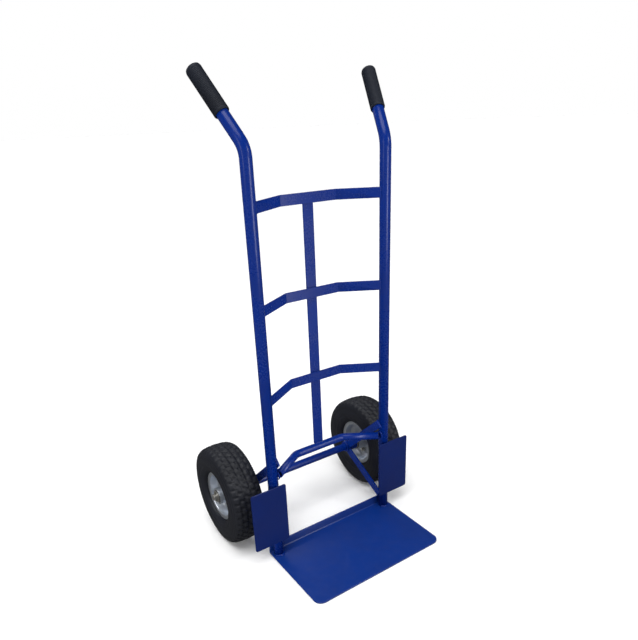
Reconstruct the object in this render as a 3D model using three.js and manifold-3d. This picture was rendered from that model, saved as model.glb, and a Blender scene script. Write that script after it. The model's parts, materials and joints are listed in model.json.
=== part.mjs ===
// Two-wheeled hand truck with a fixed toe plate. Millimetres, Z up, X across, toe plate towards -Y.
// Origin: on the floor, midway between the uprights, in the plane of their centrelines.
import * as THREE from 'three';
import Module from 'manifold-3d';

const wasm = await Module();
wasm.setup();

// Frame
const TUBE_D = 25.4;
const TUBE_WALL = 1.5;
const HALF_SPACING = 168;
const BEND_Z = 942;
const BEND_RADIUS = 55;
const HANDLE_LENGTH = 174;
const HANDLE_BACK = 38;
const HANDLE_SPLAY = 12.5;
const GRIP_LENGTH = 103;
const GRIP_WALL = 3.2;
const GRIP_END = 5;
const BAR_HEIGHTS = { crossbar_top: 834, crossbar_middle: 627, crossbar_lower: 420 };
const BAR_DEPTH = 23;
const BAR_THICK = 4;
const BAR_BOW = 52;
const BEND_FRACTION = 0.42;
const STRIP_WIDTH = 26;
const STRIP_DROP = 3;
const LOW_TUBE_Z = 227;
const LOW_TUBE_D = 19;
const LOW_BEND_RADIUS = 30;
const STRUT_WIDTH = 20;
const STRUT_START = -2;
const STRUT_THICK = 5;
const STRUT_TOP_Z = 262;
const STRUT_FOOT_Z = 46;
// Toe plate and guards
const TOE_OVERHANG = 7.3;
const TOE_REACH = 222;
const TOE_THICK = 4;
const TOE_FLANGE = 24;
const TOE_CORNER = 22;
const FLANGE_INSET = 3;
const GUARD_INBOARD = 25;
const GUARD_OUTBOARD = 68;
const GUARD_BOTTOM = 48;
const GUARD_TOP = 206;
const GUARD_THICK = 3;
const GUARD_CORNER = 5;
// Wheels
const WHEEL_R = 127;
const TYRE_WIDTH = 86;
const TYRE_WALL = 7;
const WHEEL_OUTBOARD = 51;
const TYRE_CLEAR = 6.3;
const AXLE_D = 16;
const RIM_R = 64;
const BEAD_R = 55;
const BEAD_HALF = 28;
const RIM_THICK = 2;
const HUB_LENGTH = 68;
const HUB_D = 42;
const BEARING_D = 35;
const BEARING_WIDTH = 11;
const BOLT_D = 8;
const BOLT_CIRCLE_R = 32.5;
const BOLTS = 4;
const HEX_R = 7.3;
const HEAD_HEIGHT = 5;
const NUT_HEIGHT = 6;
const BOLT_REACH = 9;
const VALVE_OUT = 12;
const WASHER_THICK = 2.5;
const WASHER_R = 15;
const BOSS_WALL = 7;
const BOSS_INBOARD = 3;
const SLEEVE_WALL = 1.6;
const AXLE_CHAMFER = 1.5;
const BEARING_RECESS = 2;
const PIN_D = 3.2;
const PIN_EXTRA = 10;
const GAP = 0.3;

const tubeR = TUBE_D / 2;
const bossR = AXLE_D / 2 + BOSS_WALL;
const toeHalf = HALF_SPACING + tubeR + TOE_OVERHANG;
const halfTrack = HALF_SPACING + WHEEL_OUTBOARD;
const axleBack = tubeR + TYRE_CLEAR + WHEEL_R;
const deg = Math.PI / 180;
const vec = (x, y, z) => new THREE.Vector3(x, y, z);

const paint = {
  frame: { color: 0x0b3a94, roughness: 0.35, metalness: 0.1 },
  guard: { color: 0x082a70, roughness: 0.4, metalness: 0.1 },
  toe: { color: 0x1d3f86, roughness: 0.38, metalness: 0.1 },
  grip: { color: 0x2b2f36, roughness: 0.85, metalness: 0 },
  tyre: { color: 0x1c1d1f, roughness: 0.9, metalness: 0 },
  innerTube: { color: 0x141414, roughness: 0.7, metalness: 0 },
  rim: { color: 0xa9abae, roughness: 0.4, metalness: 0.9 },
  zinc: { color: 0xb9b6a8, roughness: 0.35, metalness: 0.95 },
  bearing: { color: 0xc4c7ca, roughness: 0.2, metalness: 1 },
  brass: { color: 0xa98a4a, roughness: 0.35, metalness: 0.95 },
};

const group = new THREE.Group();
group.name = 'hand_truck';

// Welds equal corners and turns the faces outward.
function solid(geometry) {
  const position = geometry.getAttribute('position');
  const index = geometry.index?.array ?? Array.from({ length: position.count }, (_, i) => i);
  const seen = new Map();
  const corners = [];
  const at = (i) => {
    const exact = [position.getX(i), position.getY(i), position.getZ(i)];
    const p = exact.map((v) => Math.round(v * 1e4) / 1e4 + 0);
    const key = p.join();
    if (!seen.has(key)) {
      seen.set(key, corners.length / 3);
      corners.push(...p);
    }
    return seen.get(key);
  };
  const faces = [];
  for (let i = 0; i < index.length; i += 3) {
    const [a, b, c] = [at(index[i]), at(index[i + 1]), at(index[i + 2])];
    if (a !== b && b !== c && a !== c) faces.push(a, b, c);
  }
  const corner = (i) => vec(corners[3 * i], corners[3 * i + 1], corners[3 * i + 2]);
  let volume = 0;
  for (let i = 0; i < faces.length; i += 3) {
    volume += corner(faces[i]).dot(corner(faces[i + 1]).cross(corner(faces[i + 2])));
  }
  if (volume < 0) faces.reverse();
  const out = new THREE.BufferGeometry();
  out.setAttribute('position', new THREE.Float32BufferAttribute(corners, 3));
  out.setIndex(faces);
  return out;
}

function toManifold(geometry) {
  const g = solid(geometry);
  const mesh = new wasm.Mesh({
    numProp: 3,
    vertProperties: new Float32Array(g.getAttribute('position').array),
    triVerts: new Uint32Array(g.index.array),
  });
  return new wasm.Manifold(mesh);
}

function fromManifold(manifold) {
  const mesh = manifold.getMesh();
  const out = new THREE.BufferGeometry();
  out.setAttribute('position', new THREE.Float32BufferAttribute(mesh.vertProperties, 3));
  out.setIndex(Array.from(mesh.triVerts));
  return out;
}

const cut = (geometry, tools) =>
  fromManifold(tools.reduce((body, tool) => body.subtract(toManifold(tool)), toManifold(geometry)));

function add(name, geometry, look) {
  const g = solid(geometry);
  g.computeVertexNormals();
  const mesh = new THREE.Mesh(g, new THREE.MeshStandardMaterial(look));
  mesh.name = name;
  group.add(mesh);
}

// A path given by its stations, so straight runs need no points between their ends.
class StationPath extends THREE.Curve {
  constructor(stations) {
    super();
    this.stations = stations;
  }
  getPointAt(u) {
    return this.stations[Math.round(u * (this.stations.length - 1))].clone();
  }
  getTangentAt(u) {
    const last = this.stations.length - 1;
    const i = Math.round(u * last);
    const into = this.stations[Math.max(i, 1)].clone().sub(this.stations[Math.max(i, 1) - 1]).normalize();
    const j = Math.min(i, last - 1);
    const out = this.stations[j + 1].clone().sub(this.stations[j]).normalize();
    return into.add(out).normalize();
  }
}

function circleShape(radius, segments, hole) {
  const points = (r) =>
    Array.from({ length: segments }, (_, i) => {
      const a = (2 * Math.PI * i) / segments;
      return new THREE.Vector2(r * Math.cos(a), r * Math.sin(a));
    });
  const shape = new THREE.Shape(points(radius));
  if (hole) shape.holes.push(new THREE.Path(points(hole).reverse()));
  return shape;
}

function pipe(stations, diameter, wall, segments) {
  return new THREE.ExtrudeGeometry(circleShape(diameter / 2, segments, diameter / 2 - wall), {
    steps: stations.length - 1,
    extrudePath: new StationPath(stations),
    curveSegments: 1,
  });
}

// Stations of a path through corners, each corner rounded to a radius in a number of steps.
function rounded(corners, radius, steps) {
  const out = [corners[0]];
  for (let i = 1; i < corners.length - 1; i++) {
    const a = corners[i - 1].clone().sub(corners[i]).normalize();
    const b = corners[i + 1].clone().sub(corners[i]).normalize();
    const turn = Math.PI - a.angleTo(b);
    const setback = radius * Math.tan(turn / 2);
    const middle = a.clone().add(b).normalize();
    const centre = corners[i].clone().addScaledVector(middle, radius / Math.cos(turn / 2));
    const start = corners[i].clone().addScaledVector(a, setback).sub(centre);
    const axis = a.clone().cross(b).normalize();
    for (let k = 0; k <= steps; k++) {
      out.push(start.clone().applyAxisAngle(axis, (-turn * k) / steps).add(centre));
    }
  }
  out.push(corners[corners.length - 1]);
  return out;
}

// A flat blank given in two of the axes and thickened along the third.
function plate(points, thickness, plane = 'XY') {
  const g = new THREE.ExtrudeGeometry(new THREE.Shape(points.map(([a, b]) => new THREE.Vector2(a, b))), {
    depth: thickness,
    bevelEnabled: false,
  });
  if (plane === 'XZ') g.applyMatrix4(new THREE.Matrix4().set(1, 0, 0, 0, 0, 0, 1, 0, 0, 1, 0, 0, 0, 0, 0, 1));
  if (plane === 'YZ') g.applyMatrix4(new THREE.Matrix4().set(0, 0, 1, 0, 1, 0, 0, 0, 0, 1, 0, 0, 0, 0, 0, 1));
  return g;
}

// A rectangle's corner points with some corners rounded, anticlockwise from lower left.
function roundRect(x0, y0, x1, y1, radii, steps = 4) {
  const corners = [[x0, y0, 180], [x1, y0, 270], [x1, y1, 0], [x0, y1, 90]];
  return corners.flatMap(([x, y, from], i) => {
    const r = radii[i];
    if (!r) return [[x, y]];
    const cx = x + (x === x0 ? r : -r);
    const cy = y + (y === y0 ? r : -r);
    return Array.from({ length: steps + 1 }, (_, k) => {
      const a = (from + (90 * k) / steps) * deg;
      return [cx + r * Math.cos(a), cy + r * Math.sin(a)];
    });
  });
}

// Turned shape about X: profile points are [position along X, radius], closed on themselves.
function turned(profile, segments, x = 0) {
  const points = [...profile, profile[0]].map(([a, r]) => new THREE.Vector2(r, a));
  const g = new THREE.LatheGeometry(points, segments);
  g.rotateZ(-Math.PI / 2);
  return g.translate(x, axleBack, WHEEL_R);
}

const ring = (a0, a1, inner, outer) => [[a0, inner], [a1, inner], [a1, outer], [a0, outer]];

function uprightPath(side) {
  const bend = vec(side * HALF_SPACING, 0, BEND_Z);
  const along = handleDirection(side);
  const foot = vec(side * HALF_SPACING, 0, TOE_THICK + GAP);
  return rounded([foot, bend, bend.clone().addScaledVector(along, HANDLE_LENGTH)], BEND_RADIUS, 7);
}

function handleDirection(side) {
  const out = HANDLE_SPLAY * deg;
  const back = HANDLE_BACK * deg;
  return vec(side * Math.sin(out), Math.cos(out) * Math.sin(back), Math.cos(out) * Math.cos(back));
}

// A cup over the tube's end: closed profile from the axis inside to the axis outside.
function makeGrip(side, name) {
  const bore = tubeR + GAP;
  const outer = tubeR + GRIP_WALL;
  const end = GRIP_LENGTH;
  const profile = [
    [0, end - GRIP_END], [bore, end - GRIP_END], [bore, 0], [outer - 1.5, 0], [outer, 2],
    [outer, end - 4], [outer - 1.2, end - 1.2], [outer - 4, end], [0, end],
  ];
  const g = new THREE.LatheGeometry(profile.map(([r, y]) => new THREE.Vector2(r, y)), 20);
  const along = handleDirection(side);
  const mouth = HANDLE_LENGTH + GAP + GRIP_END - end;
  const foot = vec(side * HALF_SPACING, 0, BEND_Z).addScaledVector(along, mouth);
  g.applyQuaternion(new THREE.Quaternion().setFromUnitVectors(vec(0, 1, 0), along));
  add(name, g.translate(foot.x, foot.y, foot.z), paint.grip);
}

// Centreline of a bar that leaves one upright, bends back, and returns to the other.
function bowed(half, bow) {
  const knee = HALF_SPACING * BEND_FRACTION;
  return [[-half, 0], [-knee, bow], [knee, bow], [half, 0]];
}

function makeCrossbar(name, height) {
  const half = HALF_SPACING - tubeR - GAP;
  const t = BAR_THICK / 2;
  const line = bowed(half, BAR_BOW);
  const front = line.map(([x, y]) => [x, y - t]);
  const back = line.map(([x, y]) => [x, y + t]).reverse();
  add(name, plate([...front, ...back], BAR_DEPTH).translate(0, 0, height - BAR_DEPTH / 2), paint.frame);
}

function makeCentreStrip() {
  const w = STRIP_WIDTH / 2;
  const bottom = LOW_TUBE_Z + LOW_TUBE_D / 2 + GAP;
  const top = BAR_HEIGHTS.crossbar_top + BAR_DEPTH / 2 - STRIP_DROP;
  const g = plate([[-w, bottom], [w, bottom], [w, top], [-w, top]], BAR_THICK, 'XZ');
  add('centre_strip', g.translate(0, BAR_BOW + BAR_THICK / 2 + GAP, 0), paint.frame);
}

function makeLowTube() {
  const reach = HALF_SPACING - tubeR - GAP;
  const slope = Math.atan2(BAR_BOW, reach - HALF_SPACING * BEND_FRACTION);
  const half = reach - (LOW_TUBE_D / 2) * Math.sin(slope);
  const line = bowed(half, BAR_BOW).map(([x, y]) => vec(x, y, LOW_TUBE_Z));
  add('lower_cross_tube', pipe(rounded(line, LOW_BEND_RADIUS, 3), LOW_TUBE_D, TUBE_WALL, 14), paint.frame);
}

const strutLine = (fromZ) => new THREE.Vector2(axleBack - STRUT_START, WHEEL_R - fromZ).normalize();

// How far from the axle the two struts of a side stop, clear of the boss and of each other.
function strutStop() {
  const between = Math.abs(strutLine(STRUT_TOP_Z).angle() - strutLine(STRUT_FOOT_Z).angle());
  const apart = Math.min(between, 2 * Math.PI - between);
  return Math.max(bossR + GAP, STRUT_WIDTH / 2 / Math.tan(apart / 2) + GAP);
}

// Flat bar on the inner side of an upright, running back to the axle boss.
function makeStrut(side, name, fromZ) {
  const start = new THREE.Vector2(STRUT_START, fromZ);
  const along = strutLine(fromZ);
  const width = new THREE.Vector2(-along.y, along.x).multiplyScalar(STRUT_WIDTH / 2);
  const end = new THREE.Vector2(axleBack, WHEEL_R).addScaledVector(along, -strutStop());
  const lower = [start.clone().sub(width), end.clone().sub(width)];
  const upper = [end.clone().add(width), start.clone().add(width)];
  const inner = HALF_SPACING - tubeR - GAP - STRUT_THICK;
  const x = side > 0 ? inner : -inner - STRUT_THICK;
  const outline = [...lower, ...upper].map((p) => [p.x, p.y]);
  add(name, plate(outline, STRUT_THICK, 'YZ').translate(x, 0, 0), paint.frame);
}

const sideName = (side) => (side < 0 ? 'left' : 'right');

function makeFrameSide(side) {
  const s = sideName(side);
  add(`${s}_upright`, pipe(uprightPath(side), TUBE_D, TUBE_WALL, 20), paint.frame);
  makeGrip(side, `${s}_grip`);
  makeStrut(side, `${s}_upper_strut`, STRUT_TOP_Z);
  makeStrut(side, `${s}_lower_strut`, STRUT_FOOT_Z);
  const x0 = HALF_SPACING - GUARD_INBOARD;
  const x1 = HALF_SPACING + GUARD_OUTBOARD;
  const [left, right] = side > 0 ? [x0, x1] : [-x1, -x0];
  const shape = roundRect(left, GUARD_BOTTOM, right, GUARD_TOP, Array(4).fill(GUARD_CORNER), 3);
  const blank = plate(shape, GUARD_THICK, 'XZ');
  add(`${s}_wheel_guard`, blank.translate(0, -tubeR - GAP - GUARD_THICK, 0), paint.guard);
}

function makeToePlate() {
  const back = tubeR + GAP + TOE_THICK;
  const front = back - TOE_REACH;
  const top = TOE_THICK + TOE_FLANGE;
  const face = back - TOE_THICK;
  const corners = [TOE_CORNER, TOE_CORNER, 0, 0];
  const base = plate(roundRect(-toeHalf, front, toeHalf, back, corners, 5), TOE_THICK);
  const upstand = [[face, TOE_THICK - 1], [back, TOE_THICK - 1], [back, top], [face, top]];
  const flange = plate(upstand, 2 * (toeHalf - FLANGE_INSET), 'YZ').translate(FLANGE_INSET - toeHalf, 0, 0);
  add('toe_plate', fromManifold(toManifold(base).add(toManifold(flange))), paint.toe);
}

const bossInner = HALF_SPACING - tubeR - GAP - STRUT_THICK - BOSS_INBOARD;
const hubInner = halfTrack - HUB_LENGTH / 2;
const washerInner = hubInner - GAP - WASHER_THICK;
const pinAt = halfTrack + HUB_LENGTH / 2 + WASHER_THICK + 2 * GAP + PIN_D / 2 + 0.6;
const axleHalf = pinAt + 6;

function makeAxle() {
  const chamfer = AXLE_CHAMFER;
  const r = AXLE_D / 2;
  const rod = [[-axleHalf, 0], [-axleHalf, r - chamfer], [-axleHalf + chamfer, r], [axleHalf - chamfer, r],
    [axleHalf, r - chamfer], [axleHalf, 0]];
  const holes = [-1, 1].map((side) => crossRod(PIN_D / 2 + GAP, 4 * AXLE_D, 10, side * pinAt));
  add('axle', cut(lathed(rod, 20), holes), paint.zinc);
  const sleeveEnd = bossInner - GAP;
  add('axle_sleeve', turned(ring(-sleeveEnd, sleeveEnd, r + GAP, r + GAP + SLEEVE_WALL), 20), paint.frame);
}

// Turned shape about X whose profile starts and ends on the axis.
function lathed(profile, segments) {
  const g = new THREE.LatheGeometry(profile.map(([a, r]) => new THREE.Vector2(r, a)), segments);
  g.rotateZ(-Math.PI / 2);
  return g.translate(0, axleBack, WHEEL_R);
}

// Upright round bar crossing the axle line at x.
function crossRod(radius, length, segments, x) {
  const g = new THREE.CylinderGeometry(radius, radius, length, segments);
  return g.rotateX(Math.PI / 2).translate(x, axleBack, WHEEL_R);
}

function makeAxleSide(side) {
  const s = sideName(side);
  const r = AXLE_D / 2 + GAP;
  const span = (a, b) => (side > 0 ? [a, b] : [-b, -a]);
  add(`${s}_axle_boss`, turned(ring(...span(bossInner, washerInner - GAP), r, bossR), 20), paint.frame);
  const washer = (from) => turned(ring(...span(from, from + WASHER_THICK), r, WASHER_R), 18);
  add(`${s}_inner_washer`, washer(washerInner), paint.zinc);
  add(`${s}_outer_washer`, washer(halfTrack + HUB_LENGTH / 2 + GAP), paint.zinc);
  add(`${s}_cotter_pin`, crossRod(PIN_D / 2, AXLE_D + PIN_EXTRA, 10, side * pinAt), paint.zinc);
}

function tyreProfile() {
  const w = TYRE_WIDTH / 2;
  const t = TYRE_WALL;
  const depth = WHEEL_R - RIM_R;
  const down = (share) => WHEEL_R - share * depth;
  const outside = [
    [0, WHEEL_R], [0.5 * w, down(0.024)], [0.84 * w, down(0.143)], [0.95 * w, down(0.35)], [w, down(0.57)],
    [0.93 * w, RIM_R + 10], [0.8 * w, RIM_R + 1], [BEAD_HALF, RIM_R], [BEAD_HALF, BEAD_R + GAP],
  ];
  const inside = [
    [0.46 * w, BEAD_R + GAP], [0.5 * w, RIM_R + 2], [w - t, down(0.65)], [0.8 * w, down(0.35)],
    [0.5 * w, WHEEL_R - t - 3], [0, WHEEL_R - t - 2],
  ];
  const right = [...outside, ...inside];
  const left = right.slice(1, -1).reverse().map(([a, r]) => [-a, r]);
  return [...right, ...left];
}

// Rubber ring with its joint to the rim side left open.
function innerTubeProfile() {
  const mid = (WHEEL_R - TYRE_WALL - 2 + BEAD_R) / 2 + 1;
  const ry = (WHEEL_R - TYRE_WALL - 2 - BEAD_R) / 2 - 4;
  const rx = TYRE_WIDTH / 2 - TYRE_WALL - 11;
  const arc = (dx, from, to) =>
    Array.from({ length: 9 }, (_, k) => {
      const a = (from + ((to - from) * k) / 8) * deg;
      return [(rx - dx) * Math.sin(a), mid - (ry - dx) * Math.cos(a)];
    });
  return [...arc(0, 14, 346), ...arc(1.8, 346, 14)];
}

function rimProfile(side) {
  const t = RIM_THICK;
  const lip = BEAD_HALF + GAP;
  const face = [
    [lip + t, RIM_R - 1], [lip + t, BEAD_R - t], [t + 7, BEAD_R - t - 1], [t + GAP / 2, BEAD_R - t - 10],
    [t + GAP / 2, HUB_D / 2 + GAP], [GAP / 2, HUB_D / 2 + GAP], [GAP / 2, BEAD_R - 9], [6, BEAD_R - 1],
    [lip, BEAD_R - 0.2], [lip, RIM_R - 1],
  ];
  return face.map(([a, r]) => [side * a, r]);
}

// Round bar along X at an angle round the axle line.
function across(radius, x0, x1, segments, angle, circle, x) {
  const g = new THREE.CylinderGeometry(radius, radius, x1 - x0, segments);
  g.rotateZ(Math.PI / 2).translate(x + (x0 + x1) / 2, 0, circle).rotateX(angle);
  return g.translate(0, axleBack, WHEEL_R);
}

const valveAngle = Math.PI / BOLTS;

// Valve parts stand radially on the outer rim half.
function radial(profile, segments, side) {
  const g = new THREE.LatheGeometry(profile.map(([r, a]) => new THREE.Vector2(r, a)), segments);
  g.rotateX(Math.PI / 2).translate(side * (halfTrack + VALVE_OUT), 0, 0).rotateX(valveAngle);
  return g.translate(0, axleBack, WHEEL_R);
}

function makeBolts(side, s, x) {
  const under = RIM_THICK + GAP / 2 + GAP;
  const span = (a, b) => (side > 0 ? [a, b] : [-b, -a]);
  const hex = (radius, x0, x1, angle) => across(radius, x0, x1, 6, angle, BOLT_CIRCLE_R, x);
  for (let i = 0; i < BOLTS; i++) {
    const angle = (2 * Math.PI * i) / BOLTS;
    const tip = under + BOLT_REACH;
    const shank = across(BOLT_D / 2, ...span(-tip, under + 2), 12, angle, BOLT_CIRCLE_R, x);
    const head = hex(HEX_R, ...span(under, under + HEAD_HEIGHT), angle);
    add(`${s}_rim_bolt_${i + 1}`, fromManifold(toManifold(shank).add(toManifold(head))), paint.zinc);
    const nut = hex(HEX_R, ...span(-under - NUT_HEIGHT, -under), angle);
    const bore = across(BOLT_D / 2 + GAP, ...span(-under - 20, 0), 12, angle, BOLT_CIRCLE_R, x);
    add(`${s}_rim_nut_${i + 1}`, cut(nut, [bore]), paint.zinc);
  }
}

function makeWheel(side) {
  const s = sideName(side);
  const x = side * halfTrack;
  add(`${s}_tyre`, turned(tyreProfile(), 44, x), paint.tyre);
  add(`${s}_inner_tube`, turned(innerTubeProfile(), 30, x), paint.innerTube);
  const holes = Array.from({ length: BOLTS }, (_, i) =>
    across(BOLT_D / 2 + GAP, -12, 12, 12, (2 * Math.PI * i) / BOLTS, BOLT_CIRCLE_R, x));
  const valveHole = radial([[0, BEAD_R - 12], [5, BEAD_R - 12], [5, BEAD_R + 8], [0, BEAD_R + 8]], 12, side);
  add(`${s}_rim_outer`, cut(turned(rimProfile(side), 36, x), [...holes, valveHole]), paint.rim);
  add(`${s}_rim_inner`, cut(turned(rimProfile(-side), 36, x), holes), paint.rim);
  const half = HUB_LENGTH / 2;
  add(`${s}_hub`, turned(ring(-half, half, BEARING_D / 2 + GAP, HUB_D / 2), 24, x), paint.rim);
  const seat = half - BEARING_RECESS - BEARING_WIDTH / 2;
  const bearing = ring(-BEARING_WIDTH / 2, BEARING_WIDTH / 2, AXLE_D / 2 + GAP, BEARING_D / 2);
  add(`${s}_outer_bearing`, turned(bearing, 20, x + side * seat), paint.bearing);
  add(`${s}_inner_bearing`, turned(bearing, 20, x - side * seat), paint.bearing);
  makeBolts(side, s, x);
  const root = BEAD_R + 3;
  const stem = [[0, root - 30], [2.6, root - 30], [2.6, root - 20], [4, root - 19], [4, root], [0, root]];
  add(`${s}_valve_stem`, radial(stem, 12, side), paint.brass);
}

for (const side of [-1, 1]) makeFrameSide(side);
for (const [name, height] of Object.entries(BAR_HEIGHTS)) makeCrossbar(name, height);
makeCentreStrip();
makeLowTube();
makeToePlate();
makeAxle();
for (const side of [-1, 1]) {
  makeAxleSide(side);
  makeWheel(side);
}

export default group;
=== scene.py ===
import bpy, bmesh, json, math, random
from mathutils import Vector, Matrix, Quaternion


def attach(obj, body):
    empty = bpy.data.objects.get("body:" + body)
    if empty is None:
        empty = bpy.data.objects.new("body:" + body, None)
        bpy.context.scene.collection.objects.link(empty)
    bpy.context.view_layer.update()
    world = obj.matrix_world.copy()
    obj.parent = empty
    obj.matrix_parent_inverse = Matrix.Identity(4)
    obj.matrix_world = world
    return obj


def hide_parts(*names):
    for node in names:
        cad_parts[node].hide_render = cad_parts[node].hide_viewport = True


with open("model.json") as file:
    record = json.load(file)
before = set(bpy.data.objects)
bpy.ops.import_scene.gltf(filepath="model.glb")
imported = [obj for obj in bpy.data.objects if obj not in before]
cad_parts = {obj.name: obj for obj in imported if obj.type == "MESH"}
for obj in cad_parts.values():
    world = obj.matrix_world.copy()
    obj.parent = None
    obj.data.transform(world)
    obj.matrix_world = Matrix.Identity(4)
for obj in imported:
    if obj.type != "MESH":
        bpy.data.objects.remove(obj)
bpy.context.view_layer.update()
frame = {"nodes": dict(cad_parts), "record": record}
nodes = frame["nodes"]
mm = 0.001
random.seed(7)


def newPiece(name, bm, body, slotName, replaced=()):
    mesh = bpy.data.meshes.new(name)
    for f in bm.faces:
        f.smooth = True
    bm.to_mesh(mesh)
    bm.free()
    obj = bpy.data.objects.new(name, mesh)
    bpy.context.scene.collection.objects.link(obj)
    mesh.materials.append(looks[slotName])
    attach(obj, body)
    if replaced:
        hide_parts(*replaced)
    return obj


def makeGroup(name, inputs, outputs):
    group = bpy.data.node_groups.new(name, "ShaderNodeTree")
    for label, kind, value in inputs:
        s = group.interface.new_socket(label, in_out="INPUT", socket_type=kind)
        if value is not None:
            s.default_value = value
    for label, kind in outputs:
        group.interface.new_socket(label, in_out="OUTPUT", socket_type=kind)
    return group, group.nodes.new("NodeGroupInput"), group.nodes.new("NodeGroupOutput")


def mathNode(tree, op, a, b=None, clamp=False):
    n = tree.nodes.new("ShaderNodeMath")
    n.operation, n.use_clamp = op, clamp
    for i, v in enumerate((a, b)):
        if isinstance(v, (int, float)):
            n.inputs[i].default_value = v
        elif v is not None:
            tree.links.new(v, n.inputs[i])
    return n.outputs[0]


def mixColour(tree, mask, a, b):
    n = tree.nodes.new("ShaderNodeMix")
    n.data_type = "RGBA"
    for socket, v in ((n.inputs[0], mask), (n.inputs[6], a), (n.inputs[7], b)):
        if isinstance(v, tuple):
            socket.default_value = v
        else:
            tree.links.new(v, socket)
    return n.outputs[2]


def noiseOf(tree, vector, scale, detail=4.0, rough=0.55):
    n = tree.nodes.new("ShaderNodeTexNoise")
    n.inputs["Scale"].default_value = scale
    n.inputs["Detail"].default_value = detail
    n.inputs["Roughness"].default_value = rough
    tree.links.new(vector, n.inputs["Vector"])
    return n.outputs["Fac"]


def ramp(tree, fac, low, high):
    n = tree.nodes.new("ShaderNodeMapRange")
    n.interpolation_type = "SMOOTHSTEP"
    n.inputs["From Min"].default_value = low
    n.inputs["From Max"].default_value = high
    tree.links.new(fac, n.inputs["Value"])
    return n.outputs["Result"]


def wearGroup():
    group, gin, gout = makeGroup(
        "surfaceWear",
        [("Vector", "NodeSocketVector", None), ("Amount", "NodeSocketFloat", 0.5)],
        [("Blotch", "NodeSocketFloat"), ("Scratch", "NodeSocketFloat"), ("Dust", "NodeSocketFloat")],
    )
    vector = gin.outputs["Vector"]
    blotch = ramp(group, noiseOf(group, vector, 9.0, 5.0, 0.6), 0.35, 0.7)
    stretch = group.nodes.new("ShaderNodeMapping")
    stretch.inputs["Scale"].default_value = (60.0, 60.0, 420.0)
    stretch.inputs["Rotation"].default_value = (0.35, 0.5, 0.2)
    group.links.new(vector, stretch.inputs["Vector"])
    fine = noiseOf(group, stretch.outputs["Vector"], 1.0, 3.0, 0.5)
    where = ramp(group, noiseOf(group, vector, 14.0, 2.0), 0.52, 0.66)
    scratch = mathNode(group, "MULTIPLY", ramp(group, fine, 0.66, 0.74), where)
    scratch = mathNode(group, "MULTIPLY", scratch, gin.outputs["Amount"], True)
    geometry = group.nodes.new("ShaderNodeNewGeometry")
    split = group.nodes.new("ShaderNodeSeparateXYZ")
    group.links.new(geometry.outputs["Normal"], split.inputs[0])
    up = ramp(group, split.outputs["Z"], 0.2, 1.0)
    speck = ramp(group, noiseOf(group, vector, 60.0, 6.0, 0.7), 0.42, 0.75)
    dust = mathNode(group, "MULTIPLY", mathNode(group, "MULTIPLY", up, speck), gin.outputs["Amount"], True)
    group.links.new(blotch, gout.inputs["Blotch"])
    group.links.new(scratch, gout.inputs["Scratch"])
    group.links.new(dust, gout.inputs["Dust"])
    return group


def grainGroup():
    group, gin, gout = makeGroup(
        "surfaceGrain",
        [("Vector", "NodeSocketVector", None), ("Scale", "NodeSocketFloat", 400.0),
         ("Strength", "NodeSocketFloat", 0.2)],
        [("Height", "NodeSocketFloat"), ("Normal", "NodeSocketVector")],
    )
    n = group.nodes.new("ShaderNodeTexNoise")
    n.inputs["Detail"].default_value = 3.0
    group.links.new(gin.outputs["Vector"], n.inputs["Vector"])
    group.links.new(gin.outputs["Scale"], n.inputs["Scale"])
    bump = group.nodes.new("ShaderNodeBump")
    bump.inputs["Distance"].default_value = 0.0004
    group.links.new(gin.outputs["Strength"], bump.inputs["Strength"])
    group.links.new(n.outputs["Fac"], bump.inputs["Height"])
    group.links.new(n.outputs["Fac"], gout.inputs["Height"])
    group.links.new(bump.outputs["Normal"], gout.inputs["Normal"])
    return group


wear, grain = wearGroup(), grainGroup()


dustColour = (0.45, 0.43, 0.4, 1.0)


def lookOf(name, finish):
    material = bpy.data.materials.new(name)
    material.use_nodes = True
    tree = material.node_tree
    shader = tree.nodes["Principled BSDF"]
    place = tree.nodes.new("ShaderNodeTexCoord").outputs["Object"]
    worn = tree.nodes.new("ShaderNodeGroup")
    worn.node_tree = wear
    worn.inputs["Amount"].default_value = finish.get("wear", 0.4)
    tree.links.new(place, worn.inputs["Vector"])
    fine = tree.nodes.new("ShaderNodeGroup")
    fine.node_tree = grain
    fine.inputs["Scale"].default_value = finish.get("grainScale", 500.0)
    fine.inputs["Strength"].default_value = finish["grain"]
    tree.links.new(place, fine.inputs["Vector"])
    blotch, scratch, dust = (worn.outputs[label] for label in ("Blotch", "Scratch", "Dust"))
    colour = mixColour(tree, blotch, finish["base"] + (1.0,), finish["dark"] + (1.0,))
    colour = mixColour(tree, scratch, colour, finish.get("scuff", finish["base"]) + (1.0,))
    colour = mixColour(tree, mathNode(tree, "MULTIPLY", dust, finish.get("dusty", 0.3)), colour, dustColour)
    tree.links.new(colour, shader.inputs["Base Color"])
    grainRough = mathNode(tree, "MULTIPLY", fine.outputs["Height"], 0.12)
    rough = mathNode(tree, "ADD", grainRough, finish["rough"] - 0.06)
    rough = mathNode(tree, "ADD", rough, mathNode(tree, "MULTIPLY", blotch, 0.06), True)
    rough = mathNode(tree, "ADD", rough, mathNode(tree, "MULTIPLY", dust, 0.25), True)
    tree.links.new(rough, shader.inputs["Roughness"])
    tree.links.new(fine.outputs["Normal"], shader.inputs["Normal"])
    shader.inputs["Metallic"].default_value = finish.get("metal", 0.0)
    shader.inputs["Specular IOR Level"].default_value = finish.get("spec", 0.5)
    return material


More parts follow.
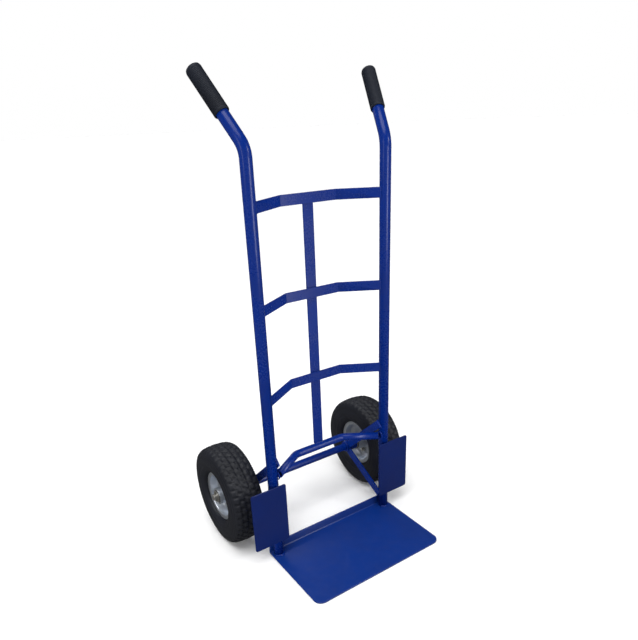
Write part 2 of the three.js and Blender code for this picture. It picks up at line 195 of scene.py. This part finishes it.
looks = {
    "frame_paint": lookOf("framePaint", {
        "base": (0.0003, 0.0195, 0.19), "dark": (0.0002, 0.017, 0.168), "scuff": (0.004, 0.03, 0.17),
        "rough": 0.25, "spec": 0.24, "grain": 0.05, "grainScale": 260.0, "wear": 0.35, "dusty": 0.01,
    }),
    "guard_paint": lookOf("guardPaint", {
        "base": (0.0002, 0.0105, 0.1), "dark": (0.0002, 0.009, 0.09), "scuff": (0.004, 0.025, 0.13),
        "rough": 0.32, "spec": 0.22, "grain": 0.06, "grainScale": 260.0, "wear": 0.4, "dusty": 0.01,
    }),
    "toe_paint": lookOf("toePaint", {
        "base": (0.002, 0.026, 0.19), "dark": (0.0016, 0.023, 0.172), "scuff": (0.005, 0.035, 0.17),
        "rough": 0.32, "spec": 0.35, "grain": 0.14, "grainScale": 220.0, "wear": 0.35, "dusty": 0.012,
    }),
    "grip_foam": lookOf("gripFoam", {
        "base": (0.006, 0.0095, 0.02), "dark": (0.0045, 0.007, 0.015), "scuff": (0.02, 0.022, 0.025),
        "rough": 0.6, "spec": 0.3, "grain": 0.6, "grainScale": 900.0, "wear": 0.4, "dusty": 0.03,
    }),
    "tyre_rubber": lookOf("tyreRubber", {
        "base": (0.0105, 0.012, 0.0185), "dark": (0.008, 0.0092, 0.014), "scuff": (0.012, 0.012, 0.012),
        "rough": 0.5, "spec": 0.3, "grain": 0.4, "grainScale": 700.0, "wear": 0.5, "dusty": 0.03,
    }),
    "tube_rubber": lookOf("tubeRubber", {
        "base": (0.012, 0.012, 0.012), "dark": (0.008, 0.008, 0.008), "rough": 0.55, "grain": 0.2,
    }),
    "rim_zinc": lookOf("rimZinc", {
        "base": (0.7, 0.74, 0.8), "dark": (0.55, 0.58, 0.63), "scuff": (0.85, 0.86, 0.88),
        "rough": 0.33, "metal": 0.92, "grain": 0.2, "grainScale": 300.0, "wear": 0.6,
    }),
    "fastener_zinc": lookOf("fastenerZinc", {
        "base": (0.5, 0.49, 0.45), "dark": (0.36, 0.35, 0.33), "rough": 0.34, "metal": 0.9,
        "grain": 0.2, "wear": 0.6,
    }),
    "bearing_steel": lookOf("bearingSteel", {
        "base": (0.6, 0.61, 0.63), "dark": (0.45, 0.46, 0.48), "rough": 0.25, "metal": 1.0,
        "grain": 0.08, "wear": 0.5,
    }),
    "valve_brass": lookOf("valveBrass", {
        "base": (0.55, 0.42, 0.18), "dark": (0.4, 0.3, 0.13), "rough": 0.34, "metal": 1.0,
        "grain": 0.15, "wear": 0.5,
    }),
}
print("looks made")


def arcPath(corners, radius, steps):
    out = [corners[0].copy()]
    for i in range(1, len(corners) - 1):
        a = (corners[i - 1] - corners[i]).normalized()
        b = (corners[i + 1] - corners[i]).normalized()
        turn = math.pi - a.angle(b)
        centre = corners[i] + (a + b).normalized() * (radius / math.cos(turn / 2))
        start = corners[i] + a * (radius * math.tan(turn / 2)) - centre
        axis = a.cross(b).normalized()
        for k in range(steps + 1):
            out.append(Matrix.Rotation(-turn * k / steps, 3, axis) @ start + centre)
    out.append(corners[-1].copy())
    return out


def sweep(bm, points, radii, segments):  # draws a ring along the points, returns its end edges
    side = (points[1] - points[0]).orthogonal().normalized()
    edges, first, last = [], [], None
    for i, point in enumerate(points):
        way = (points[min(i + 1, len(points) - 1)] - points[max(i - 1, 0)]).normalized()
        side = (side - way * side.dot(way)).normalized()
        place = Matrix((side, way.cross(side), way)).transposed().to_4x4() @ Matrix.Scale(radii[i], 4)
        place.translation = point
        if last is None:
            ring = bmesh.ops.create_circle(bm, segments=segments, radius=1.0, matrix=place)["verts"]
            edges = first = list({e for v in ring for e in v.link_edges})
        else:
            made = bmesh.ops.extrude_edge_only(bm, edges=edges)["geom"]
            edges = [e for e in made if isinstance(e, bmesh.types.BMEdge)]
            ring = [v for v in made if isinstance(v, bmesh.types.BMVert)]
            edges = [e for e in edges if all(v in ring for v in e.verts)]
            bmesh.ops.transform(bm, matrix=place @ last.inverted(), verts=ring)
        last = place
    return first, edges


def tube(points, radius, wall, segments):
    bm = bmesh.new()
    sweep(bm, points, [radius] * len(points), segments)
    bmesh.ops.recalc_face_normals(bm, faces=bm.faces)
    bmesh.ops.solidify(bm, geom=bm.faces[:], thickness=wall)
    bmesh.ops.recalc_face_normals(bm, faces=bm.faces)
    return bm


def lathe(profile, segments, place, closed=True, shape=None):  # profile of (along, radius), spun about X
    bm = bmesh.new()
    verts = [bm.verts.new((a, 0, r)) for a, r in profile]
    pairs = list(zip(verts, verts[1:])) + ([(verts[-1], verts[0])] if closed else [])
    edges = [bm.edges.new(pair) for pair in pairs]
    bmesh.ops.spin(bm, geom=verts + edges, cent=(0, 0, 0), axis=(1, 0, 0), dvec=(0, 0, 0), angle=2 * math.pi,
                   steps=segments, use_merge=True, use_duplicate=False)
    bmesh.ops.remove_doubles(bm, verts=bm.verts, dist=0.001 * mm)
    if shape:  # the tread's grooves
        for v in bm.verts:
            radius, turn = math.hypot(v.co.y, v.co.z), math.atan2(-v.co.y, v.co.z) % (2 * math.pi)
            grown = shape(v.co.x, radius, turn) / radius
            v.co.y, v.co.z = v.co.y * grown, v.co.z * grown
    bmesh.ops.recalc_face_normals(bm, faces=bm.faces)
    bmesh.ops.transform(bm, matrix=place, verts=bm.verts)
    return bm


def softCorners(points, radius, steps):  # closed profile with every corner rounded
    out = []
    n = len(points)
    for i in range(n):
        p, q, r = Vector(points[i - 1]), Vector(points[i]), Vector(points[(i + 1) % n])
        a, b = p - q, r - q
        reach = min(radius, a.length * 0.45, b.length * 0.45)
        s, e = q + a.normalized() * reach, q + b.normalized() * reach
        for k in range(steps + 1):
            u = k / steps
            out.append(tuple(s * (1 - u) ** 2 + q * 2 * u * (1 - u) + e * u * u))
    return out


frameSize = {"tubeR": 12.7 * mm, "wall": 1.5 * mm, "spacing": 168 * mm, "bendZ": 942 * mm, "bendR": 55 * mm,
             "handle": 174 * mm, "back": math.radians(38), "splay": math.radians(12.5), "foot": 4.3 * mm,
             "kneeShare": 0.42, "bow": 52 * mm, "gap": 0.3 * mm}


def handleWay(side):
    o, b = frameSize["splay"], frameSize["back"]
    return Vector((side * math.sin(o), math.cos(o) * math.sin(b), math.cos(o) * math.cos(b)))


def gripProfile():
    length, outer, bore, end = gripSize["length"], gripSize["outer"], gripSize["bore"], gripSize["endWall"]
    profile = [(length - end, 0), (length - end, bore), (0, bore), (0, outer - 1.6 * mm),
               (0.6 * mm, outer - 0.5 * mm), (2.2 * mm, outer)]
    step = (length - gripSize["plainEnds"]) / gripSize["ribs"]
    for k in range(gripSize["ribs"]):
        a = end + step * k
        profile += [(a, outer), (a + step * 0.3, outer - gripSize["groove"]),
                    (a + step * 0.6, outer - gripSize["groove"]), (a + step * 0.85, outer)]
    return profile + [(length - 6 * mm, outer), (length - 2.6 * mm, outer - 1.1 * mm),
                      (length - 0.7 * mm, outer - 3.6 * mm), (length, outer - 6.5 * mm), (length, 0)]


gripSize = {"length": 103 * mm, "outer": 15.9 * mm, "bore": 13.0 * mm, "endWall": 5 * mm, "ribs": 30,
            "groove": 0.7 * mm, "plainEnds": 14 * mm}
for side, word in ((-1, "left"), (1, "right")):
    bend = Vector((side * frameSize["spacing"], 0, frameSize["bendZ"]))
    foot = Vector((side * frameSize["spacing"], 0, frameSize["foot"]))
    way = handleWay(side)
    path = arcPath([foot, bend, bend + way * frameSize["handle"]], frameSize["bendR"], 18)
    newPiece(word + "Upright", tube(path, frameSize["tubeR"], frameSize["wall"], 48), "frame", "frame_paint",
             [word + "_upright"])
    mouth = bend + way * (frameSize["handle"] + gripSize["endWall"] + frameSize["gap"] - gripSize["length"])
    turn = Vector((1, 0, 0)).rotation_difference(way).to_matrix().to_4x4()
    newPiece(word + "Grip", lathe(gripProfile(), 64, Matrix.Translation(mouth) @ turn, closed=False), "frame",
             "grip_foam", [word + "_grip"])
print("uprights and grips made")

knee = frameSize["spacing"] * frameSize["kneeShare"]
low = {"half": 150 * mm, "z": 227 * mm, "r": 9.5 * mm, "wall": 1.5 * mm, "bendR": 30 * mm}
corners = [Vector((x, y, low["z"])) for x, y in
           ((-low["half"], 0), (-knee, frameSize["bow"]), (knee, frameSize["bow"]), (low["half"], 0))]
newPiece("lowerTube", tube(arcPath(corners, low["bendR"], 10), low["r"], low["wall"], 36), "frame",
         "frame_paint", ["lower_cross_tube"])


toeSize = {"half": 188 * mm, "back": 17 * mm, "reach": 222 * mm, "thick": 4 * mm, "flange": 28 * mm,
           "corner": 20 * mm, "bend": 5 * mm, "inset": 2 * mm, "brokenEdge": 0.8 * mm}


def toeSheet():
    mid = toeSize["thick"] / 2
    front, rear = toeSize["back"] - toeSize["reach"] + mid, toeSize["back"] - mid
    bm = bmesh.new()
    bmesh.ops.create_grid(bm, x_segments=1, y_segments=1, size=0.5)
    bmesh.ops.scale(bm, vec=(2 * (toeSize["half"] - mid), rear - front, 1), verts=bm.verts)
    bmesh.ops.translate(bm, vec=(0, (front + rear) / 2, mid), verts=bm.verts)
    fold = [e for e in bm.edges if all(v.co.y > rear - mid / 2 for v in e.verts)]
    made = bmesh.ops.extrude_edge_only(bm, edges=fold)["geom"]
    raised = [v for v in made if isinstance(v, bmesh.types.BMVert)]
    bmesh.ops.translate(bm, vec=(0, 0, toeSize["flange"] - toeSize["thick"]), verts=raised)
    bmesh.ops.scale(bm, vec=(1 - toeSize["inset"] / toeSize["half"], 1, 1), verts=raised)
    bmesh.ops.bevel(bm, geom=fold, offset=toeSize["bend"], segments=8, profile=0.5, material=-1,
                    affect="EDGES")
    corners = [v for v in bm.verts if v.co.y < front + mid]
    bmesh.ops.bevel(bm, geom=corners, offset=toeSize["corner"], segments=8, profile=0.5, material=-1,
                    affect="VERTICES")
    bmesh.ops.recalc_face_normals(bm, faces=bm.faces)
    if sum(f.normal.z * f.calc_area() for f in bm.faces) < 0:
        bmesh.ops.reverse_faces(bm, faces=bm.faces)
    return bm


toe = newPiece("toePlate", toeSheet(), "frame", "toe_paint", ["toe_plate"])
thick = toe.modifiers.new("thickness", "SOLIDIFY")
thick.thickness, thick.offset = toeSize["thick"], 0
edge = toe.modifiers.new("edge", "BEVEL")
edge.width, edge.segments = toeSize["brokenEdge"], 3
edge.limit_method, edge.angle_limit = "ANGLE", math.radians(50)

# the other CAD pieces keep their solid and gain broken edges
edgeWidths = {"crossbar_top": 0.9, "crossbar_middle": 0.9, "crossbar_lower": 0.9, "centre_strip": 0.8,
              "upper_strut": 0.9, "lower_strut": 0.9, "wheel_guard": 0.7, "axle_boss": 0.8}
slotOf = {part["node"]: part["material_slot"] for part in frame["record"]["subparts"]}
for name, cadPiece in nodes.items():
    short = name.replace("left_", "").replace("right_", "")
    if not cadPiece.material_slots:
        cadPiece.data.materials.append(None)
    cadPiece.material_slots[0].material = looks[slotOf[name]]
    if short == "inner_tube":
        continue
    weld = cadPiece.modifiers.new("weld", "WELD")
    weld.merge_threshold = 0.005 * mm
    edge = cadPiece.modifiers.new("edge", "BEVEL")
    edge.width, edge.segments = edgeWidths.get(short, 0.35) * mm, 2
    edge.limit_method, edge.angle_limit = "ANGLE", math.radians(35)
print("plates and bars made")


def bead(bm, points, radius):
    fine, along = [], 0.0
    for a, b in zip(points, points[1:]):
        n = max(1, int((b - a).length / (0.9 * mm)))
        fine += [a.lerp(b, k / n) for k in range(n)]
    fine.append(points[-1])
    radii = []
    for i, p in enumerate(fine):
        ends = min(1.0, (i + 0.6) / 3, (len(fine) - i - 0.4) / 3)
        radii.append(radius * ends * (1 + 0.16 * abs(math.sin(i * 1.25)) + random.uniform(-0.05, 0.05)))
    for ring in sweep(bm, fine, radii, 8):
        bmesh.ops.edgeloop_fill(bm, edges=ring)


weldPlaces = {"barHeights": (834, 627, 420), "strutStarts": (262, 46), "guardHeights": (70, 168),
              "axleBack": 146, "axleZ": 127, "bossX": 147.3, "bossR": 15.2}
weldBm = bmesh.new()


def arcOf(count, fromDegrees, overDegrees, at):  # points on an arc, at(cos, sin) giving each place in mm
    turns = (math.radians(fromDegrees + overDegrees * k / count) for k in range(count + 1))
    return [Vector(at(math.cos(a), math.sin(a))) * mm for a in turns]


def sideWelds(side):
    x0 = side * frameSize["spacing"]
    inner = x0 - side * (frameSize["tubeR"] + 0.2 * mm)
    bead(weldBm, arcOf(14, 200, 140, lambda c, s: (x0 / mm + 13.6 * c, 13.6 * s, 4.9)), 2.3 * mm)
    for z in weldPlaces["barHeights"]:
        for up in (-1, 1):  # above and below each bar's end
            p = Vector((inner, 0, (z + up * 11.6) * mm))
            bead(weldBm, [p + Vector((0, -3.0 * mm, 0)), p + Vector((0, 3.4 * mm, 0))], 1.7 * mm)
    bead(weldBm, arcOf(20, 0, 360, lambda c, s: (inner / mm, 10 * c, low["z"] / mm + 10 * s))[:-1], 1.6 * mm)
    for z in weldPlaces["guardHeights"]:
        p = Vector((x0 - side * 9 * mm, -11.6 * mm, z * mm))
        bead(weldBm, [p - Vector((0, 0, 9 * mm)), p + Vector((0, 0, 9 * mm))], 1.6 * mm)
    bossR = weldPlaces["bossR"]
    bead(weldBm, arcOf(14, 130, 100, lambda c, s: (side * weldPlaces["bossX"], weldPlaces["axleBack"] + bossR * c,
                                                   weldPlaces["axleZ"] + bossR * s)), 1.6 * mm)
    for fromZ in weldPlaces["strutStarts"]:
        way = Vector((0, weldPlaces["axleBack"] + 2, weldPlaces["axleZ"] - fromZ)).normalized()
        across = Vector((0, -way.z, way.y)) * 10.2 * mm
        for turn in (-1, 1):
            p = Vector((inner, -2 * mm, fromZ * mm)) + across * turn
            bead(weldBm, [p, p + way * 11 * mm], 1.5 * mm)


for side in (-1, 1):
    sideWelds(side)
for z in weldPlaces["barHeights"]:  # both edges of the centre strip
    for side in (-1, 1):
        p = Vector((side * 13.3 * mm, 54.5 * mm, z * mm))
        bead(weldBm, [p - Vector((0, 0, 7 * mm)), p + Vector((0, 0, 5 * mm))], 1.3 * mm)
bead(weldBm, [Vector((x * mm, 53.5 * mm, 236.7 * mm)) for x in (-12, 12)], 1.6 * mm)
bmesh.ops.recalc_face_normals(weldBm, faces=weldBm.faces)
newPiece("weldBeads", weldBm, "frame", "frame_paint")
print("welds made")


tyreSize = {"r": 127 * mm, "w": 43 * mm, "bead": 55.3 * mm, "depth": 3.0 * mm, "blocks": 42,
            "steps": 8, "track": 219 * mm, "back": 146 * mm}


def tyreProfile():
    r, w = tyreSize["r"], tyreSize["w"]
    crown = []
    for k in range(15):
        a = 0.86 * w * k / 14
        drop = (a / (0.5 * w)) ** 2 * 1.6 * mm if a < 0.5 * w else 1.6 * mm + (a - 0.5 * w) ** 2 * 26
        crown.append((a, r - drop))
    wall = [(share * w, r - drop * mm) for share, drop in (
        (0.9, 14), (0.93, 18), (0.955, 21), (0.945, 22), (0.965, 24), (0.985, 29), (1, 35), (0.995, 41),
        (0.975, 46), (0.985, 47), (0.975, 48.5), (0.94, 52), (0.87, 59.5), (0.8, 61.8), (0.72, 62.6))]
    wall += [(28 * mm, 64 * mm), (28 * mm, tyreSize["bead"])]
    inner = [(19.8 * mm, tyreSize["bead"]), (21.5 * mm, 66 * mm), (35.4 * mm, 86 * mm), (34 * mm, 105 * mm),
             (21 * mm, 116.5 * mm), (0, 117.5 * mm)]
    half = crown + wall + inner
    return half + [(-a, r) for a, r in half[1:-1]][::-1]


def treaded(a, r, turn):  # lowers the grooves between the blocks
    w = tyreSize["w"]
    if r < tyreSize["r"] - 13 * mm:
        return r
    u = abs(a) / w
    stagger = (0.5 if 0.2 <= u < 0.52 else 0) + (0.18 if a < 0 else 0) + u * 0.35
    phase = (turn / (2 * math.pi) * tyreSize["blocks"] + stagger) % 1.0
    groove = phase > 0.7 or 0.175 < u < 0.25 or 0.5 < u < 0.575
    return r - (tyreSize["depth"] if groove and u < 0.84 else 0)


def rimProfile(out):
    section = [(30.3, 63), (30.3, 53), (9, 52), (2.15, 43), (2.15, 21.3), (0.15, 21.3), (0.15, 46), (6, 54),
               (28.3, 54.8), (28.3, 63)]
    return softCorners([(out * a * mm, r * mm) for a, r in section], 2.4 * mm, 4)


hubProfile = softCorners([(x * mm, r * mm) for x, r in ((-34, 17.8), (34, 17.8), (34, 21), (-34, 21))],
                         0.9 * mm, 3)
for side, word in ((-1, "left"), (1, "right")):
    body = word + "_wheel"
    place = Matrix.Translation((side * tyreSize["track"], tyreSize["back"], tyreSize["r"]))
    tyre = lathe(tyreProfile(), tyreSize["blocks"] * tyreSize["steps"], place, shape=treaded)
    newPiece(word + "Tyre", tyre, body, "tyre_rubber", [word + "_tyre"])
    for half, label, node in ((side, "RimOuter", "_rim_outer"), (-side, "RimInner", "_rim_inner")):
        newPiece(word + label, lathe(rimProfile(half), 80, place), body, "rim_zinc", [word + node])
    newPiece(word + "Hub", lathe(hubProfile, 56, place), body, "rim_zinc", [word + "_hub"])
print("wheels made")

floorBm = bmesh.new()
bmesh.ops.create_grid(floorBm, x_segments=2, y_segments=2, size=120)
floorMesh = bpy.data.meshes.new("floor")
bmesh.ops.translate(floorBm, vec=(0, 0, -0.6 * mm), verts=floorBm.verts)
floorBm.to_mesh(floorMesh)
floorBm.free()
floor = bpy.data.objects.new("floor", floorMesh)
floor.visible_glossy = False  # the paint mirrors the dim studio, not the white floor
bpy.context.scene.collection.objects.link(floor)
floorLook = bpy.data.materials.new("floorLook")
floorLook.use_nodes = True
floorShader = floorLook.node_tree.nodes["Principled BSDF"]
floorShader.inputs["Base Color"].default_value = (0.995, 0.995, 0.995, 1)
floorShader.inputs["Roughness"].default_value = 0.9
floorMesh.materials.append(floorLook)

world = bpy.data.worlds.new("studio")
bpy.context.scene.world = world
world.use_nodes = True
sky = world.node_tree
direction = sky.nodes.new("ShaderNodeSeparateXYZ")
sky.links.new(sky.nodes.new("ShaderNodeTexCoord").outputs["Generated"], direction.inputs[0])
falloff = sky.nodes.new("ShaderNodeMapRange")  # white round the horizon, softer overhead
falloff.interpolation_type = "SMOOTHSTEP"
for label, value in (("From Min", 0.3), ("From Max", 0.5), ("To Min", 1.0), ("To Max", 0.3)):
    falloff.inputs[label].default_value = value
sky.links.new(direction.outputs["Z"], falloff.inputs["Value"])
sky.nodes["Background"].inputs["Color"].default_value = (1, 1, 1, 1)
rays = sky.nodes.new("ShaderNodeLightPath")
mirrored = mathNode(sky, "SUBTRACT", 1.0, mathNode(sky, "MULTIPLY", rays.outputs["Is Glossy Ray"], 0.88))
lit = mathNode(sky, "MULTIPLY", falloff.outputs["Result"], mirrored)
seen = mathNode(sky, "MAXIMUM", lit, rays.outputs["Is Camera Ray"])  # the backdrop itself is plain white
sky.links.new(seen, sky.nodes["Background"].inputs["Strength"])

sunData = bpy.data.lights.new("softSun", "SUN")
sunData.energy, sunData.angle = 2.3, math.radians(48)
sun = bpy.data.objects.new("softSun", sunData)
sun.rotation_euler = Vector((0.45, 0.25, -1.7)).to_track_quat("-Z", "Y").to_euler()
bpy.context.scene.collection.objects.link(sun)


def areaLight(name, place, target, width, height, power):
    light = bpy.data.lights.new(name, "AREA")
    light.shape, light.size, light.size_y, light.energy = "RECTANGLE", width, height, power
    o = bpy.data.objects.new(name, light)
    o.location = place
    o.rotation_euler = (Vector(target) - Vector(place)).to_track_quat("-Z", "Y").to_euler()
    bpy.context.scene.collection.objects.link(o)
    return o


areaLight("key", (1.5, -2.3, 2.0), (0, 0, 0.6), 0.45, 0.45, 20)
shine = areaLight("shine", (0.35, -1.2, 0.52), (0, 0, 0.52), 0.34, 0.95, 11)
shine.visible_diffuse = shine.visible_camera = False  # only draws the bright line down the tubes
areaLight("side", (-2.5, -0.5, 1.3), (0, 0, 0.5), 0.25, 1.6, 10)
areaLight("rim", (0.5, 2.6, 2.2), (0, 0, 0.6), 0.8, 0.8, 10)

view = {"place": (-0.7025, -1.0308, 0.9807), "yaw": 33.23, "pitch": 24.26, "roll": -2.42, "focal": 582.7,
        "shiftY": 0.1}
cam = bpy.data.cameras.new("camera")
cam.sensor_width = 36
cam.lens = view["focal"] / 640 * 36
cam.shift_y = view["shiftY"]
camObj = bpy.data.objects.new("camera", cam)
camObj.location = view["place"]
yaw, pitch = math.radians(view["yaw"]), math.radians(view["pitch"])
aim = Vector((math.sin(yaw) * math.cos(pitch), math.cos(yaw) * math.cos(pitch), -math.sin(pitch)))
roll = Quaternion((0, 0, 1), math.radians(view["roll"]))
camObj.rotation_euler = (aim.to_track_quat("-Z", "Y") @ roll).to_euler()
bpy.context.scene.collection.objects.link(camObj)
bpy.context.scene.camera = camObj
bpy.context.scene.view_settings.view_transform = "Standard"
print("stage made")
